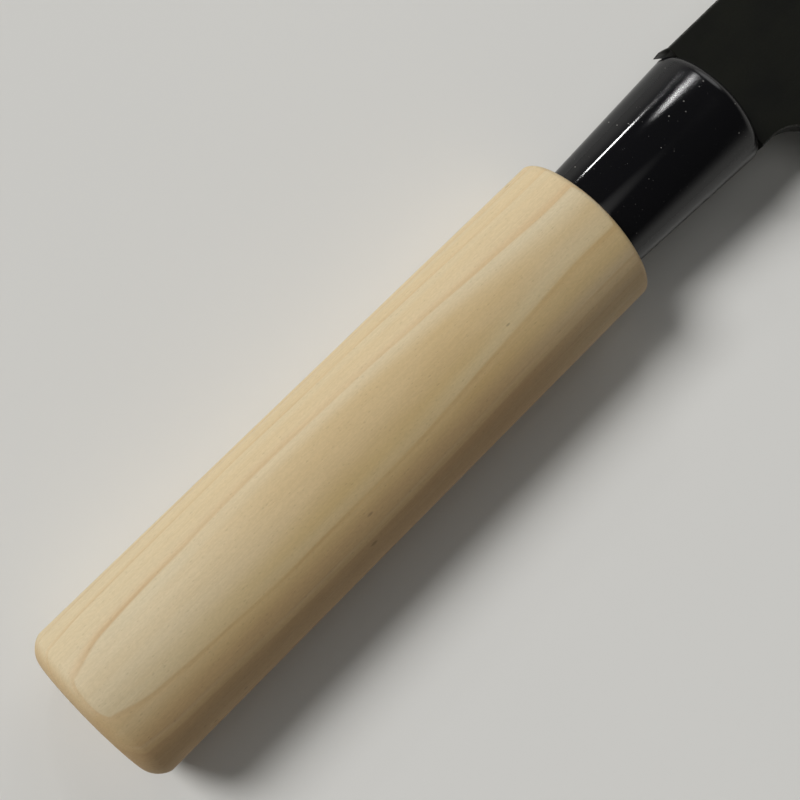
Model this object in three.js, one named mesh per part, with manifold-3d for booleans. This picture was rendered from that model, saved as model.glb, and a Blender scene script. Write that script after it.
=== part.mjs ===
// A gyuto, the all-round kitchen knife: a three-layer forged blade whose stick tang is set in an
// oval wooden handle behind a moulded black ferrule.
// Sizes are in millimetres. +X runs from the butt of the handle to the tip of the blade, +Y from the
// cutting edge to the spine, and +Z out of the right-hand face of the blade, so the knife lies on its
// left side. The origin is the centre of the butt, on the line that the tang is driven along.
import * as THREE from "three";
import { mergeVertices } from "three/addons/utils/BufferGeometryUtils.js";
import Module from "manifold-3d";

// Handle wood: one oval section all along, with a soft ridge down its right-hand side.
const HANDLE_LENGTH = 98.5;
const HANDLE_HEIGHT = 25.5;
const HANDLE_RIGHT_DEPTH = 9.6;
const HANDLE_LEFT_DEPTH = 9.2;
const BUTT_ROUND = 3;
const HANDLE_FRONT_ROUND = 1.2;
const RIDGE_SHARE = 0.126;
const RIDGE_SOFTNESS = 0.4;

// Ferrule: the same oval, a step smaller at the wood and flaring to the width of the blade's neck.
const FERRULE_LENGTH = 28.5;
const FERRULE_HEIGHT = 18;
const FERRULE_RIGHT_DEPTH = 5.7;
const FERRULE_LEFT_DEPTH = 5.5;
const FERRULE_FLARE = 1.4;
const FERRULE_FRONT_ROUND = 2.2;
const FERRULE_WALL = 1.6;
const FERRULE_FACE_WALL = 3;

// Blade outline. The spine and the neck are measured from the line of the handle.
const EDGE_LENGTH = 210;
const HEEL_HEIGHT = 46.5;
const SPINE_RISE = 10.7;
const SPINE_STRAIGHT = 125;
const SPINE_CURVE_REACH = 40;
const NECK_DROP = 10;
const NECK_STRAIGHT = 2;
const CHOIL_RADIUS = 7;
const CHOIL_TO_GRIND_LINE = 3.8;
const TIP_DROP = 15;
const EDGE_FLAT_REACH = 105;
const BELLY_REACH = 48;
const BELLY_DROP = 27.5;

// Blade section: flat cheeks from the spine down to a grind line, then a wide bevel to the edge.
const SPINE_THICKNESS = 3.5;
const GRIND_LINE_THICKNESS = 2.9;
const TIP_THICKNESS = 1.1;
const EDGE_THICKNESS = 0.2;
const CORE_THICKNESS = 0.8;
const BEVEL_RISE_AT_BELLY = 13.5;

// Tang and the cured resin round its tail.
const TANG_LENGTH = 82;
const TANG_ROOT_HEIGHT = 9.6;
const TANG_END_HEIGHT = 5.2;
const RESIN_BEHIND_TANG = 4;
const RESIN_LEAST_WALL = 0.8;

// The gap left round each fitted piece, and how far a cut runs past the face that it opens.
const FIT_GAP = 0.3;
const CUT_PAST = 1;

// Steps along each curve, round each oval and round each rounded end.
const CURVE_STEPS = 14;
const EDGE_STEPS = 40;
const OVAL_STEPS = 56;
const ROUND_STEPS = 5;

const shoulderX = HANDLE_LENGTH + FERRULE_LENGTH;
const heelX = shoulderX + NECK_STRAIGHT + CHOIL_RADIUS;
const tangEndX = shoulderX - TANG_LENGTH;
const heel = new THREE.Vector2(heelX, SPINE_RISE - HEEL_HEIGHT);
const tip = new THREE.Vector2(heelX + EDGE_LENGTH, SPINE_RISE - TIP_DROP);
const choilEndY = -NECK_DROP - CHOIL_RADIUS;
const grindStartY = choilEndY - CHOIL_TO_GRIND_LINE;
const tenonEndX = shoulderX - FERRULE_FACE_WALL - FIT_GAP;
const mortiseEndX = tangEndX - FIT_GAP - RESIN_BEHIND_TANG - FIT_GAP;
const mortiseHalfHeight = TANG_ROOT_HEIGHT / 2 + FIT_GAP;
const mortiseHalfDepth = SPINE_THICKNESS / 2 + FIT_GAP;

const wasm = await Module();
wasm.setup();

const materials = {
  hardSteel: new THREE.MeshStandardMaterial({ color: 0x9b9d9c, roughness: 0.3, metalness: 1 }),
  forgedIron: new THREE.MeshStandardMaterial({ color: 0x292a25, roughness: 0.55, metalness: 0.6 }),
  blackPlastic: new THREE.MeshStandardMaterial({ color: 0x0c0c0e, roughness: 0.2, metalness: 0 }),
  magnoliaWood: new THREE.MeshStandardMaterial({ color: 0xd9c8a4, roughness: 0.65, metalness: 0 }),
  curedResin: new THREE.MeshStandardMaterial({ color: 0xb9a06a, roughness: 0.45, metalness: 0 }),
};

// Joins rings of points, all with as many points, into one closed skin. The rings turn anticlockwise
// as seen from the end that they run towards. flat reads a point's place in the plane of the end
// faces, and regions lists the points that bound each flat part of them.
function loft(rings, flat, regions) {
  const count = rings[0].length;
  const triangles = [];
  for (let ring = 0; ring + 1 < rings.length; ring += 1) {
    for (let step = 0; step < count; step += 1) {
      const next = (step + 1) % count;
      const low = ring * count;
      const high = low + count;
      triangles.push(low + step, low + next, high + next);
      triangles.push(low + step, high + next, high + step);
    }
  }
  const last = (rings.length - 1) * count;
  for (const region of regions) {
    for (const [a, b, c] of THREE.ShapeUtils.triangulateShape(region.map((i) => flat(rings[0][i])), [])) {
      triangles.push(region[a], region[c], region[b]);
    }
    for (const [a, b, c] of THREE.ShapeUtils.triangulateShape(region.map((i) => flat(rings.at(-1)[i])), [])) {
      triangles.push(last + region[a], last + region[b], last + region[c]);
    }
  }
  const geometry = new THREE.BufferGeometry().setFromPoints(rings.flat());
  geometry.setIndex(triangles);
  return geometry;
}

function toSolid(geometry) {
  const bare = geometry.clone();
  bare.deleteAttribute("normal");
  bare.deleteAttribute("uv");
  const merged = mergeVertices(bare, 1e-4);
  const vertProperties = new Float32Array(merged.attributes.position.array);
  const triVerts = new Uint32Array(merged.index.array);
  return new wasm.Manifold(new wasm.Mesh({ numProp: 3, vertProperties, triVerts }));
}

function toGeometry(solid) {
  const mesh = solid.getMesh();
  const geometry = new THREE.BufferGeometry();
  geometry.setAttribute("position", new THREE.BufferAttribute(mesh.vertProperties, 3));
  geometry.setIndex(new THREE.BufferAttribute(mesh.triVerts, 1));
  return geometry;
}

function piece(name, geometry, material) {
  geometry.computeVertexNormals();
  const mesh = new THREE.Mesh(geometry, material);
  mesh.name = name;
  return mesh;
}

// A flat plate in the plane of the blade, centred on that plane.
function plate(corners, thickness) {
  const shape = new THREE.Shape(corners.map(([x, y]) => new THREE.Vector2(x, y)));
  const geometry = new THREE.ExtrudeGeometry(shape, { depth: thickness, bevelEnabled: false });
  return geometry.translate(0, 0, -thickness / 2);
}

// One ring of the handle's oval. Part of its right-hand side rises to a ridge with a rounded crest.
function ovalRing(x, halfHeight, rightDepth, leftDepth) {
  const ring = [];
  const ridgeFall = Math.hypot(1, RIDGE_SOFTNESS) - RIDGE_SOFTNESS;
  for (let step = 0; step < OVAL_STEPS; step += 1) {
    const angle = (2 * Math.PI * step) / OVAL_STEPS;
    const across = Math.cos(angle);
    const out = Math.sin(angle);
    const ridge = 1 - (Math.hypot(across, RIDGE_SOFTNESS) - RIDGE_SOFTNESS) / ridgeFall;
    const ridged = (1 - RIDGE_SHARE) * out + RIDGE_SHARE * ridge;
    const depth = out > 0 ? rightDepth * ridged : leftDepth * out;
    ring.push(new THREE.Vector3(x, halfHeight * across, depth));
  }
  return ring;
}

function ovalLoft(rings) {
  return loft(rings, (point) => new THREE.Vector2(point.y, point.z), [rings[0].map((_, i) => i)]);
}

// A rounded end, from its flat face outwards: how far back from the face each ring stands, and how
// far it is drawn in.
function roundedEnd(radius) {
  const steps = [];
  for (let step = 0; step <= ROUND_STEPS; step += 1) {
    const angle = (Math.PI / 2) * (step / ROUND_STEPS);
    steps.push({ back: radius * (1 - Math.cos(angle)), inset: radius * (1 - Math.sin(angle)) });
  }
  return steps;
}

// Half the blade's thickness at a point of a cheek. It thins to the tip and towards the edge, and
// keeps its thickness from the heel back to the end of the tang.
function cheekHeight(point) {
  const fall = (SPINE_THICKNESS - GRIND_LINE_THICKNESS) / 2 / (SPINE_RISE - grindStartY);
  const taper = ((SPINE_THICKNESS - TIP_THICKNESS) / 2 - fall * TIP_DROP) / EDGE_LENGTH;
  const pastHeel = Math.max(0, point.x - heelX);
  return SPINE_THICKNESS / 2 - taper * pastHeel - fall * (SPINE_RISE - point.y);
}

// The cutting edge, the grind line above it, and between them the line where the core comes out.
function bevelLines() {
  const bellyX = tip.x - BELLY_REACH;
  const bellyY = tip.y - BELLY_DROP;
  const edgeCurve = new THREE.CubicBezierCurve(
    heel,
    new THREE.Vector2(heelX + EDGE_FLAT_REACH, heel.y),
    new THREE.Vector2(bellyX, bellyY),
    tip,
  );
  const grindCurve = new THREE.CubicBezierCurve(
    new THREE.Vector2(heelX, grindStartY),
    new THREE.Vector2(heelX + EDGE_FLAT_REACH, grindStartY),
    new THREE.Vector2(bellyX, bellyY + BEVEL_RISE_AT_BELLY),
    tip,
  );
  const edge = edgeCurve.getPoints(EDGE_STEPS).slice(0, EDGE_STEPS);
  const grind = grindCurve.getPoints(EDGE_STEPS).slice(0, EDGE_STEPS);
  const core = edge.map((point, i) => {
    const rise = (CORE_THICKNESS - EDGE_THICKNESS) / 2 / (cheekHeight(grind[i]) - EDGE_THICKNESS / 2);
    return point.clone().lerp(grind[i], rise);
  });
  return { edge, grind, core };
}

// The rest of the outline: from the tip along the spine, round the tang and along the choil.
function backOutline() {
  const neckEndX = shoulderX + NECK_STRAIGHT;
  const path = new THREE.Path();
  path.moveTo(tip.x, tip.y);
  path.quadraticCurveTo(tip.x - SPINE_CURVE_REACH, SPINE_RISE, heelX + SPINE_STRAIGHT, SPINE_RISE);
  path.lineTo(heelX, SPINE_RISE);
  path.lineTo(shoulderX, SPINE_RISE);
  path.lineTo(shoulderX, TANG_ROOT_HEIGHT / 2);
  path.lineTo(tangEndX, TANG_END_HEIGHT / 2);
  path.lineTo(tangEndX, -TANG_END_HEIGHT / 2);
  path.lineTo(shoulderX, -TANG_ROOT_HEIGHT / 2);
  path.lineTo(shoulderX, -NECK_DROP);
  path.lineTo(neckEndX, -NECK_DROP);
  path.absarc(neckEndX, choilEndY, CHOIL_RADIUS, Math.PI / 2, 0, true);
  return path.getPoints(CURVE_STEPS);
}

const bevel = bevelLines();
const back = backOutline();

function bladeRing(bevelLine, height) {
  return [...bevelLine, ...back].map((point) => new THREE.Vector3(point.x, point.y, height(point)));
}

// The flat parts of a blade layer: the cheek ahead of the heel, and the neck and tang behind it.
function bladeLoft(rings) {
  const last = rings[0].length - 1;
  const turn = EDGE_STEPS + back.findIndex((point) => point.x === heelX && point.y === SPINE_RISE);
  const order = [...rings[0].keys()];
  const cheek = [...order.slice(0, turn + 1), last];
  const neck = order.slice(turn);
  return loft(rings, (point) => new THREE.Vector2(point.x, point.y), [cheek, neck]);
}

function coreSteel() {
  const half = CORE_THICKNESS / 2;
  const thin = EDGE_THICKNESS / 2;
  const geometry = bladeLoft([
    bladeRing(bevel.core, () => -half),
    bladeRing(bevel.edge, () => -thin),
    bladeRing(bevel.edge, () => thin),
    bladeRing(bevel.core, () => half),
  ]);
  return piece("core_steel", geometry, materials.hardSteel);
}

function rightCladding() {
  const inner = bladeRing(bevel.core, () => CORE_THICKNESS / 2);
  const outer = bladeRing(bevel.grind, cheekHeight);
  return piece("right_cladding", bladeLoft([inner, outer]), materials.forgedIron);
}

function leftCladding() {
  const inner = bladeRing(bevel.core, () => -CORE_THICKNESS / 2);
  const outer = bladeRing(bevel.grind, (point) => -cheekHeight(point));
  return piece("left_cladding", bladeLoft([outer, inner]), materials.forgedIron);
}

function ferruleRing(x, inset) {
  const grown = (FERRULE_FLARE * (x - HANDLE_LENGTH)) / FERRULE_LENGTH - inset;
  return ovalRing(x, FERRULE_HEIGHT / 2 + grown, FERRULE_RIGHT_DEPTH + grown, FERRULE_LEFT_DEPTH + grown);
}

// The bore of the ferrule, and with a fit gap as its inset the tenon that fills it.
function socketRing(x, inset) {
  const drawn = FERRULE_WALL + inset;
  return ovalRing(x, FERRULE_HEIGHT / 2 - drawn, FERRULE_RIGHT_DEPTH - drawn, FERRULE_LEFT_DEPTH - drawn);
}

// The slot for the tang, a flat-sided mortise from one end to the other.
function tangSlot(startX, endX) {
  const corners = [
    [startX, -mortiseHalfHeight],
    [endX, -mortiseHalfHeight],
    [endX, mortiseHalfHeight],
    [startX, mortiseHalfHeight],
  ];
  return toSolid(plate(corners, 2 * mortiseHalfDepth));
}

function ferrule() {
  const rings = [ferruleRing(HANDLE_LENGTH, 0)];
  for (const { back: setBack, inset } of roundedEnd(FERRULE_FRONT_ROUND).reverse()) {
    rings.push(ferruleRing(shoulderX - setBack, inset));
  }
  const boreEndX = shoulderX - FERRULE_FACE_WALL;
  const bore = toSolid(ovalLoft([socketRing(HANDLE_LENGTH - CUT_PAST, 0), socketRing(boreEndX, 0)]));
  const slot = tangSlot(boreEndX - CUT_PAST, shoulderX + CUT_PAST);
  const solid = toSolid(ovalLoft(rings)).subtract(bore).subtract(slot);
  return piece("ferrule", toGeometry(solid), materials.blackPlastic);
}

function handleRing(x, inset) {
  return ovalRing(x, HANDLE_HEIGHT / 2 - inset, HANDLE_RIGHT_DEPTH - inset, HANDLE_LEFT_DEPTH - inset);
}

function handleBody() {
  const butt = roundedEnd(BUTT_ROUND).map((step) => handleRing(step.back, step.inset));
  const front = roundedEnd(HANDLE_FRONT_ROUND).map((step) =>
    handleRing(HANDLE_LENGTH - step.back, step.inset),
  );
  const tenon = [socketRing(HANDLE_LENGTH - CUT_PAST, FIT_GAP), socketRing(tenonEndX, FIT_GAP)];
  const solid = toSolid(ovalLoft([...butt, ...front.reverse()]))
    .add(toSolid(ovalLoft(tenon)))
    .subtract(tangSlot(mortiseEndX, tenonEndX + CUT_PAST));
  return piece("handle_body", toGeometry(solid), materials.magnoliaWood);
}

// Resin that fills the mortise above, below and behind the tapering tail of the tang.
function tangBedding() {
  const slope = (TANG_ROOT_HEIGHT - TANG_END_HEIGHT) / 2 / TANG_LENGTH;
  const outside = mortiseHalfHeight - FIT_GAP;
  const insideAtEnd = TANG_END_HEIGHT / 2 + FIT_GAP;
  const insideAtMouth = outside - RESIN_LEAST_WALL;
  const backX = mortiseEndX + FIT_GAP;
  const seatX = tangEndX - FIT_GAP;
  const mouthX = tangEndX + (insideAtMouth - insideAtEnd) / slope;
  const corners = [
    [backX, -outside],
    [mouthX, -outside],
    [mouthX, -insideAtMouth],
    [seatX, -insideAtEnd],
    [seatX, insideAtEnd],
    [mouthX, insideAtMouth],
    [mouthX, outside],
    [backX, outside],
  ];
  const geometry = plate(corners, 2 * (mortiseHalfDepth - FIT_GAP));
  return piece("tang_bedding", geometry, materials.curedResin);
}

const knife = new THREE.Group();
knife.name = "gyuto_knife";
knife.add(coreSteel());
knife.add(rightCladding());
knife.add(leftCladding());
knife.add(ferrule());
knife.add(handleBody());
knife.add(tangBedding());

export default knife;
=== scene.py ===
import math

import bmesh
import bpy
import numpy as np
from bpy.props import FloatProperty, FloatVectorProperty, PointerProperty
from mathutils import Matrix, Vector


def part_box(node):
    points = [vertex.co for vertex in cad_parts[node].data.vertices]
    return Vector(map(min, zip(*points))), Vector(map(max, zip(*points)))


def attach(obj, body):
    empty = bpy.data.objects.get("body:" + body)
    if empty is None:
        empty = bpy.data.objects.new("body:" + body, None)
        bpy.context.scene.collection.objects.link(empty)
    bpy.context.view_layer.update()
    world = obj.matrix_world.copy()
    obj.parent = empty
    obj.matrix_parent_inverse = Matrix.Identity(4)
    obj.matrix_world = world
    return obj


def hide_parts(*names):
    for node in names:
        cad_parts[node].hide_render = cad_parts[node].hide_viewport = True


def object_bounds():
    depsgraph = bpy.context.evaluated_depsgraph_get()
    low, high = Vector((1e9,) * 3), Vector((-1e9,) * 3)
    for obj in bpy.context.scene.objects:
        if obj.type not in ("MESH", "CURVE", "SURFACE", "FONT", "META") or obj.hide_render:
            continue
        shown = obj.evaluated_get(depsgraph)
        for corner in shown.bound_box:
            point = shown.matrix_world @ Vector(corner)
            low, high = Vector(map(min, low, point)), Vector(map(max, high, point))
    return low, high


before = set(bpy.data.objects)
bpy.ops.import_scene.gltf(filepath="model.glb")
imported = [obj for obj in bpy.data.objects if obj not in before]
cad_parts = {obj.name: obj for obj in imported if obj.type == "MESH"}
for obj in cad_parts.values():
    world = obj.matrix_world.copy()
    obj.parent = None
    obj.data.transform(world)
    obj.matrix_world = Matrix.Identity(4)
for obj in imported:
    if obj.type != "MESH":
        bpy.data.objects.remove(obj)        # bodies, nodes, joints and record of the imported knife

bl_info = {
    "name": "Gyuto knife",
    "version": (1, 0, 0),
    "blender": (4, 5, 0),
    "location": "View3D > Sidebar > Knife",
    "description": "Finished pieces, materials and stage for a gyuto with a wooden handle",
    "category": "Object",
}

CAD_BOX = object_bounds()
BODY = "root"
MM = 0.001
PER_METRE = 1000.0
FULL_TURN = 2.0 * math.pi

handle_low, handle_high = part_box("handle_body")
ferrule_low, ferrule_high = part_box("ferrule")
core_low, core_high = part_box("core_steel")
_, cheek_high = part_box("right_cladding")


# Sizes and colours that a user would change

def linear(red, green, blue):
    """A colour written as screen values from 0 to 255, in the linear values that shaders use."""
    def channel(value):
        level = value / 255.0
        return level / 12.92 if level <= 0.04045 else ((level + 0.055) / 1.055) ** 2.4
    return tuple(channel(value) for value in (red, green, blue))


def length(name, description, default):
    return FloatProperty(name=name, description=description, default=default, unit="LENGTH", precision=5)


def share(name, description, default):
    return FloatProperty(name=name, description=description, default=default, subtype="FACTOR")


def angle(name, description, degrees):
    return FloatProperty(name=name, description=description, default=math.radians(degrees), subtype="ANGLE")


def colour(name, description, red, green, blue):
    return FloatVectorProperty(
        name=name,
        description=description,
        default=linear(red, green, blue),
        min=0.0,
        max=1.0,
        subtype="COLOR",
    )


class HandleSettings(bpy.types.PropertyGroup):
    body_length: length("Length", "Butt to the face that meets the ferrule", ferrule_low.x)
    half_height: length("Half height", "Middle to the spine side", handle_high.y)
    right_depth: length("Right depth", "Middle to the ridge on the right", handle_high.z)
    left_depth: length("Left depth", "Middle to the left side", -handle_low.z)
    butt_round: length("Butt round", "Radius round the butt", 2.6 * MM)
    front_round: length("Front round", "Radius at the ferrule", 1.1 * MM)
    ridge_share: share("Ridge", "How much of the right side rises to the ridge", 0.126)
    tenon_end: length("Tenon end", "Butt to the end of the tenon", handle_high.x)
    mortise_end: length("Mortise end", "Butt to the bottom of the mortise", 40.4 * MM)
    ring_spacing: length("Ring spacing", "Thickness of one growth ring", 2.0 * MM)
    cream: colour("Cream", "Main tone of the wood", 206, 186, 149)
    early: colour("Early wood", "Greyish tone just inside a ring line", 204, 189, 157)
    tan: colour("Tan", "Warmer tone of the inside of a ring", 192, 167, 122)
    # Russet serves the ring figure, the cut butt, and painted shade tinting the edge side
    russet: colour("Russet", "Redder tone towards the edge side", 190, 159, 114)
    blush: colour("Blush", "Pinkish tone just outside a ring line", 201, 175, 136)
    honey: colour("Honey", "Yellower tint between the middle and the edge side", 205, 174, 100)
    resin: colour("Resin", "Cured resin round the tang", 184, 158, 102)
    ring_line: colour("Ring line", "Thin brown line between two rings", 168, 134, 94)


class FerruleSettings(bpy.types.PropertyGroup):
    back_half_height: length("Half height", "Middle to the spine side at the wood", 9.0 * MM)
    back_right_depth: length("Right depth", "Middle to the right side at the wood", 5.7 * MM)
    back_left_depth: length("Left depth", "Middle to the left side at the wood", 5.5 * MM)
    flare: length("Flare", "Growth of each side from the wood to the blade", 1.4 * MM)
    wall: length("Wall", "Thickness round the tenon", 1.6 * MM)
    face_wall: length("Front wall", "Thickness of the closed front", 3.0 * MM)
    front_round: length("Front round", "Radius at the blade", 2.2 * MM)
    back_round: length("Back round", "Radius at the wood", 0.35 * MM)
    slot_half_height: length("Slot half height", "Middle of the tang slot to its end", 5.1 * MM)
    slot_half_depth: length("Slot half depth", "Middle of the tang slot to its side", 2.05 * MM)
    fit_gap: length("Fit gap", "Gap between the tenon and the bore", 0.3 * MM)
    plastic: colour("Plastic", "Black of the moulding", 14, 14, 16)
    dust: colour("Dust", "Grey of the dust that lies on it", 150, 148, 142)


class BladeSettings(bpy.types.PropertyGroup):
    shoulder: length("Shoulder", "Butt to the face of the blade at the ferrule", ferrule_high.x)
    tip_x: length("Tip", "Butt to the tip", core_high.x)
    spine: length("Spine", "Line of the handle to the spine", core_high.y)
    edge: length("Edge", "Line of the handle to the edge at the heel", core_low.y)
    tip_drop: length("Tip drop", "Spine to the tip", 15.0 * MM)
    spine_straight: length("Straight spine", "Heel to where the spine begins to curve", 125.0 * MM)
    spine_curve_reach: length("Spine curve", "How far the line of the tip runs back", 40.0 * MM)
    neck_drop: length("Neck drop", "Line of the handle to the underside of the neck", 10.0 * MM)
    neck_straight: length("Straight neck", "Length of the neck before the choil", 2.0 * MM)
    choil_radius: length("Choil radius", "Radius behind the heel", 7.0 * MM)
    choil_to_grind: length("Choil to grind line", "End of the choil to the grind line", 3.8 * MM)
    flat_reach: length("Flat of the edge", "How far the edge keeps the heel's direction", 105.0 * MM)
    belly_reach: length("Belly reach", "How far the belly pulls the edge back from the tip", 48.0 * MM)
    belly_drop: length("Belly drop", "How far the belly pulls the edge below the tip", 27.5 * MM)
    bevel_at_belly: length("Bevel at the belly", "Rise of the grind line over the edge there", 13.5 * MM)
    spine_half: length("Half spine", "Half the thickness at the spine", cheek_high.z)
    grind_half: length("Half at the grind line", "Half the thickness at the grind line", 1.45 * MM)
    tip_half: length("Half at the tip", "Half the thickness that the taper leaves", 0.55 * MM)
    core_half: length("Half core", "Half the thickness of the core", core_high.z)
    edge_half: length("Half edge", "Half the thickness behind the edge", 0.1 * MM)
    tang_root: length("Tang root", "Half the height of the tang at the shoulder", 4.8 * MM)
    tang_end: length("Tang end", "Half the height of the tang at its end", 2.6 * MM)
    tang_end_x: length("Tang end place", "Butt to the end of the tang", core_low.x)
    easing: length("Easing", "Radius of the eased spine, choil and heel", 0.4 * MM)
    point_reach: length("Point reach", "Length over which the point is thinned", 30.0 * MM)
    point_share: share("Point share", "Share of the thickness left at the point", 0.28)
    bevel_bulge: length("Bevel bulge", "How far the bevel stands out from flat", 0.05 * MM)
    micro_bevel: length("Edge bevel", "Height of the honed edge bevel", 0.7 * MM)
    weld_wave: length("Weld wave", "How far the weld line wanders", 0.5 * MM)
    grind_wave: length("Grind wave", "How far the grind line wanders", 0.16 * MM)
    burr_length: length("Burr", "Length of the thin burr over the ferrule", 1.45 * MM)
    burr_lift: length("Burr lift", "How far the burr leans out from the spine", 0.45 * MM)
    scale_dark: colour("Scale", "Dark forge scale", 9, 10, 7)
    scale_light: colour("Light scale", "Paler patches of the forge scale", 19, 20, 13)
    bare_iron: colour("Bare iron", "Iron where the scale is gone", 150, 149, 144)
    steel: colour("Steel", "Polished core at the edge", 196, 197, 196)
    haze: colour("Haze", "Core along the weld line", 160, 161, 161)


class StageSettings(bpy.types.PropertyGroup):
    camera_place: FloatVectorProperty(
        name="Camera",
        description="Place of the camera",
        default=(0.02172, 0.00116, 0.18869),
        subtype="TRANSLATION",
    )
    camera_tilt: angle("Tilt", "Lean of the view towards the tip", 11.453)
    camera_roll: angle("Roll", "Turn of the picture about the view", -44.553)
    lens: FloatProperty(name="Lens", description="Focal length", default=60.98, unit="CAMERA")
    floor_reach: length("Floor", "Half the width of the floor", 40.0)
    floor_colour: colour("Floor", "Pale floor", 226, 225, 221)
    horizon: colour("Horizon", "Pale surroundings that are seen near the floor", 194, 193, 189)
    fill: colour("Fill", "Light that comes from near the floor", 140, 140, 138)
    overhead: colour("Overhead", "Dim surroundings overhead", 52, 52, 52)
    panel: colour("Panel", "Pale panel straight above", 196, 196, 194)
    key_strength: FloatProperty(name="Key", description="Strength of the main lamp", default=2.52)
    key_width: angle("Key width", "How wide the main lamp looks from the knife", 22.0)
    side_strength: FloatProperty(name="Side", description="Strength of the lamp beyond the tip", default=0.3)
    side_width: angle("Side width", "How wide the side lamp looks from the knife", 30.0)


SETTINGS = {
    "knife_handle": HandleSettings,
    "knife_ferrule": FerruleSettings,
    "knife_blade": BladeSettings,
    "knife_stage": StageSettings,
}


# Node helpers

NODES_IN_ROW = 10
NODE_STEP = (240.0, -260.0)


class Value:
    """What a node puts out. Numbers among them can be reckoned with as usual."""

    def __init__(self, socket):
        self.socket = socket
        self.tree = socket.id_data

    def maths(self, operation, *others):
        inputs = dict(enumerate((self, *others)))
        return result(self.tree, "ShaderNodeMath", inputs, operation=operation)

    def __add__(self, other):
        return self.maths("ADD", other)

    def __sub__(self, other):
        return self.maths("SUBTRACT", other)

    def __rsub__(self, number):
        return self.maths("MULTIPLY_ADD", -1.0, number)

    def __mul__(self, other):
        return self.maths("MULTIPLY", other)

    def __truediv__(self, other):
        return self.maths("DIVIDE", other)

    def __abs__(self):
        return self.maths("ABSOLUTE")

    def at_least(self, other):
        return self.maths("MAXIMUM", other)

    def between(self, low, high, low_result=0.0, high_result=1.0):
        """Eases from one result to the other as the value goes from low to high."""
        inputs = {"Value": self, "From Min": low, "From Max": high}
        inputs.update({"To Min": low_result, "To Max": high_result})
        return result(self.tree, "ShaderNodeMapRange", inputs, interpolation_type="SMOOTHSTEP")

    def spread(self, low_result, high_result):
        """Eases from one result to the other as a mask goes from 0 to 1."""
        return self.between(0.0, 1.0, low_result, high_result)

    def split(self):
        return [Value(axis) for axis in node(self.tree, "ShaderNodeSeparateXYZ", {0: self}).outputs]


def node(tree, kind, inputs=None, **options):
    """Adds a node, sets its options, and sets or links its inputs."""
    made = tree.nodes.new(kind)
    row, column = divmod(len(tree.nodes), NODES_IN_ROW)
    made.location = (NODE_STEP[0] * column, NODE_STEP[1] * row)
    for name, option in options.items():
        setattr(made, name, option)
    for name, given in (inputs or {}).items():
        if isinstance(given, Value):
            tree.links.new(given.socket, made.inputs[name])
        else:
            made.inputs[name].default_value = given
    return made


def result(tree, kind, inputs=None, output=0, **options):
    """What a new node puts out."""
    return Value(node(tree, kind, inputs, **options).outputs[output])


def mix_values(factor, first, second):
    return result(factor.tree, "ShaderNodeMix", {0: factor, 2: first, 3: second}, data_type="FLOAT")


def mix_colours(factor, first, second, blend="MIX"):
    colours = [given if isinstance(given, Value) else (*given, 1.0) for given in (first, second)]
    tree = next(given.tree for given in (factor, *colours) if isinstance(given, Value))
    inputs = {0: factor, 6: colours[0], 7: colours[1]}
    return result(tree, "ShaderNodeMix", inputs, 2, data_type="RGBA", blend_type=blend)


def new_group(name, kind, inputs, output, output_type):
    """A node group with the values it is given, and the inlet for what it puts out."""
    tree = bpy.data.node_groups.new(name, kind)
    for label, socket_type in inputs:
        tree.interface.new_socket(name=label, in_out="INPUT", socket_type=socket_type)
    tree.interface.new_socket(name=output, in_out="OUTPUT", socket_type=output_type)
    given = tree.nodes.new("NodeGroupInput").outputs
    inlet = tree.nodes.new("NodeGroupOutput").inputs[output]
    return tree, {label: Value(given[label]) for label, _ in inputs}, inlet


# Effects that several materials share

def effect_group(name, inputs, output):
    """A shader group whose pattern is stretched by its Scale, and which puts out one number."""
    sockets = [("Vector", "NodeSocketVector"), ("Scale", "NodeSocketVector")]
    sockets += [(label, "NodeSocketFloat") for label in inputs]
    tree, given, inlet = new_group(name, "ShaderNodeTree", sockets, output, "NodeSocketFloat")
    scaled = {0: given["Vector"], 1: given["Scale"]}
    place = result(tree, "ShaderNodeVectorMath", scaled, operation="MULTIPLY")
    return tree, given, {"Vector": place, "Scale": 1.0}, inlet


def streaks_group(name):
    """Fine lines drawn out in one direction: fibres in wood, and grinding marks in metal."""
    tree, given, place, inlet = effect_group(name, ["Contrast"], "Streaks")
    noise = result(tree, "ShaderNodeTexNoise", {**place, "Detail": 4.0, "Roughness": 0.62})
    contrasted = (noise - 0.5) * given["Contrast"] + 0.5
    tree.links.new(result(tree, "ShaderNodeClamp", {0: contrasted}).socket, inlet)
    return tree


def specks_group(name):
    """Scattered specks, one to a cell: pores, dust, pits and bubbles."""
    tree, given, place, inlet = effect_group(name, ["Size", "Share"], "Specks")
    cells = node(tree, "ShaderNodeTexVoronoi", place).outputs
    pick = node(tree, "ShaderNodeSeparateColor", {0: Value(cells["Color"])}).outputs
    chosen = Value(pick[0]).maths("LESS_THAN", given["Share"])
    radius = given["Size"] * (Value(pick[1]) + 0.4)
    nearness = Value(cells["Distance"]) / radius
    tree.links.new((nearness.between(1.0, 0.45) * chosen).socket, inlet)
    return tree


def mottle_group(name):
    """Broad soft patches, for tone and gloss that drift over a surface."""
    tree, given, place, inlet = effect_group(name, ["Detail"], "Mottle")
    noise = result(tree, "ShaderNodeTexNoise", {**place, "Detail": given["Detail"], "Roughness": 0.55})
    tree.links.new(noise.between(0.28, 0.72).socket, inlet)
    return tree


def place_group(place, name, build, **inputs):
    group = bpy.data.node_groups.get(name) or build(name)
    return result(place.tree, "ShaderNodeGroup", {"Vector": place, **inputs}, node_tree=group)


def streaks(place, scale, contrast):
    return place_group(place, "drawn_streaks", streaks_group, Scale=scale, Contrast=contrast)


def specks(place, scale, size, chosen):
    return place_group(place, "scattered_specks", specks_group, Scale=scale, Size=size, Share=chosen)


def mottle(place, scale, detail):
    return place_group(place, "soft_mottle", mottle_group, Scale=scale, Detail=detail)


# Materials

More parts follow.
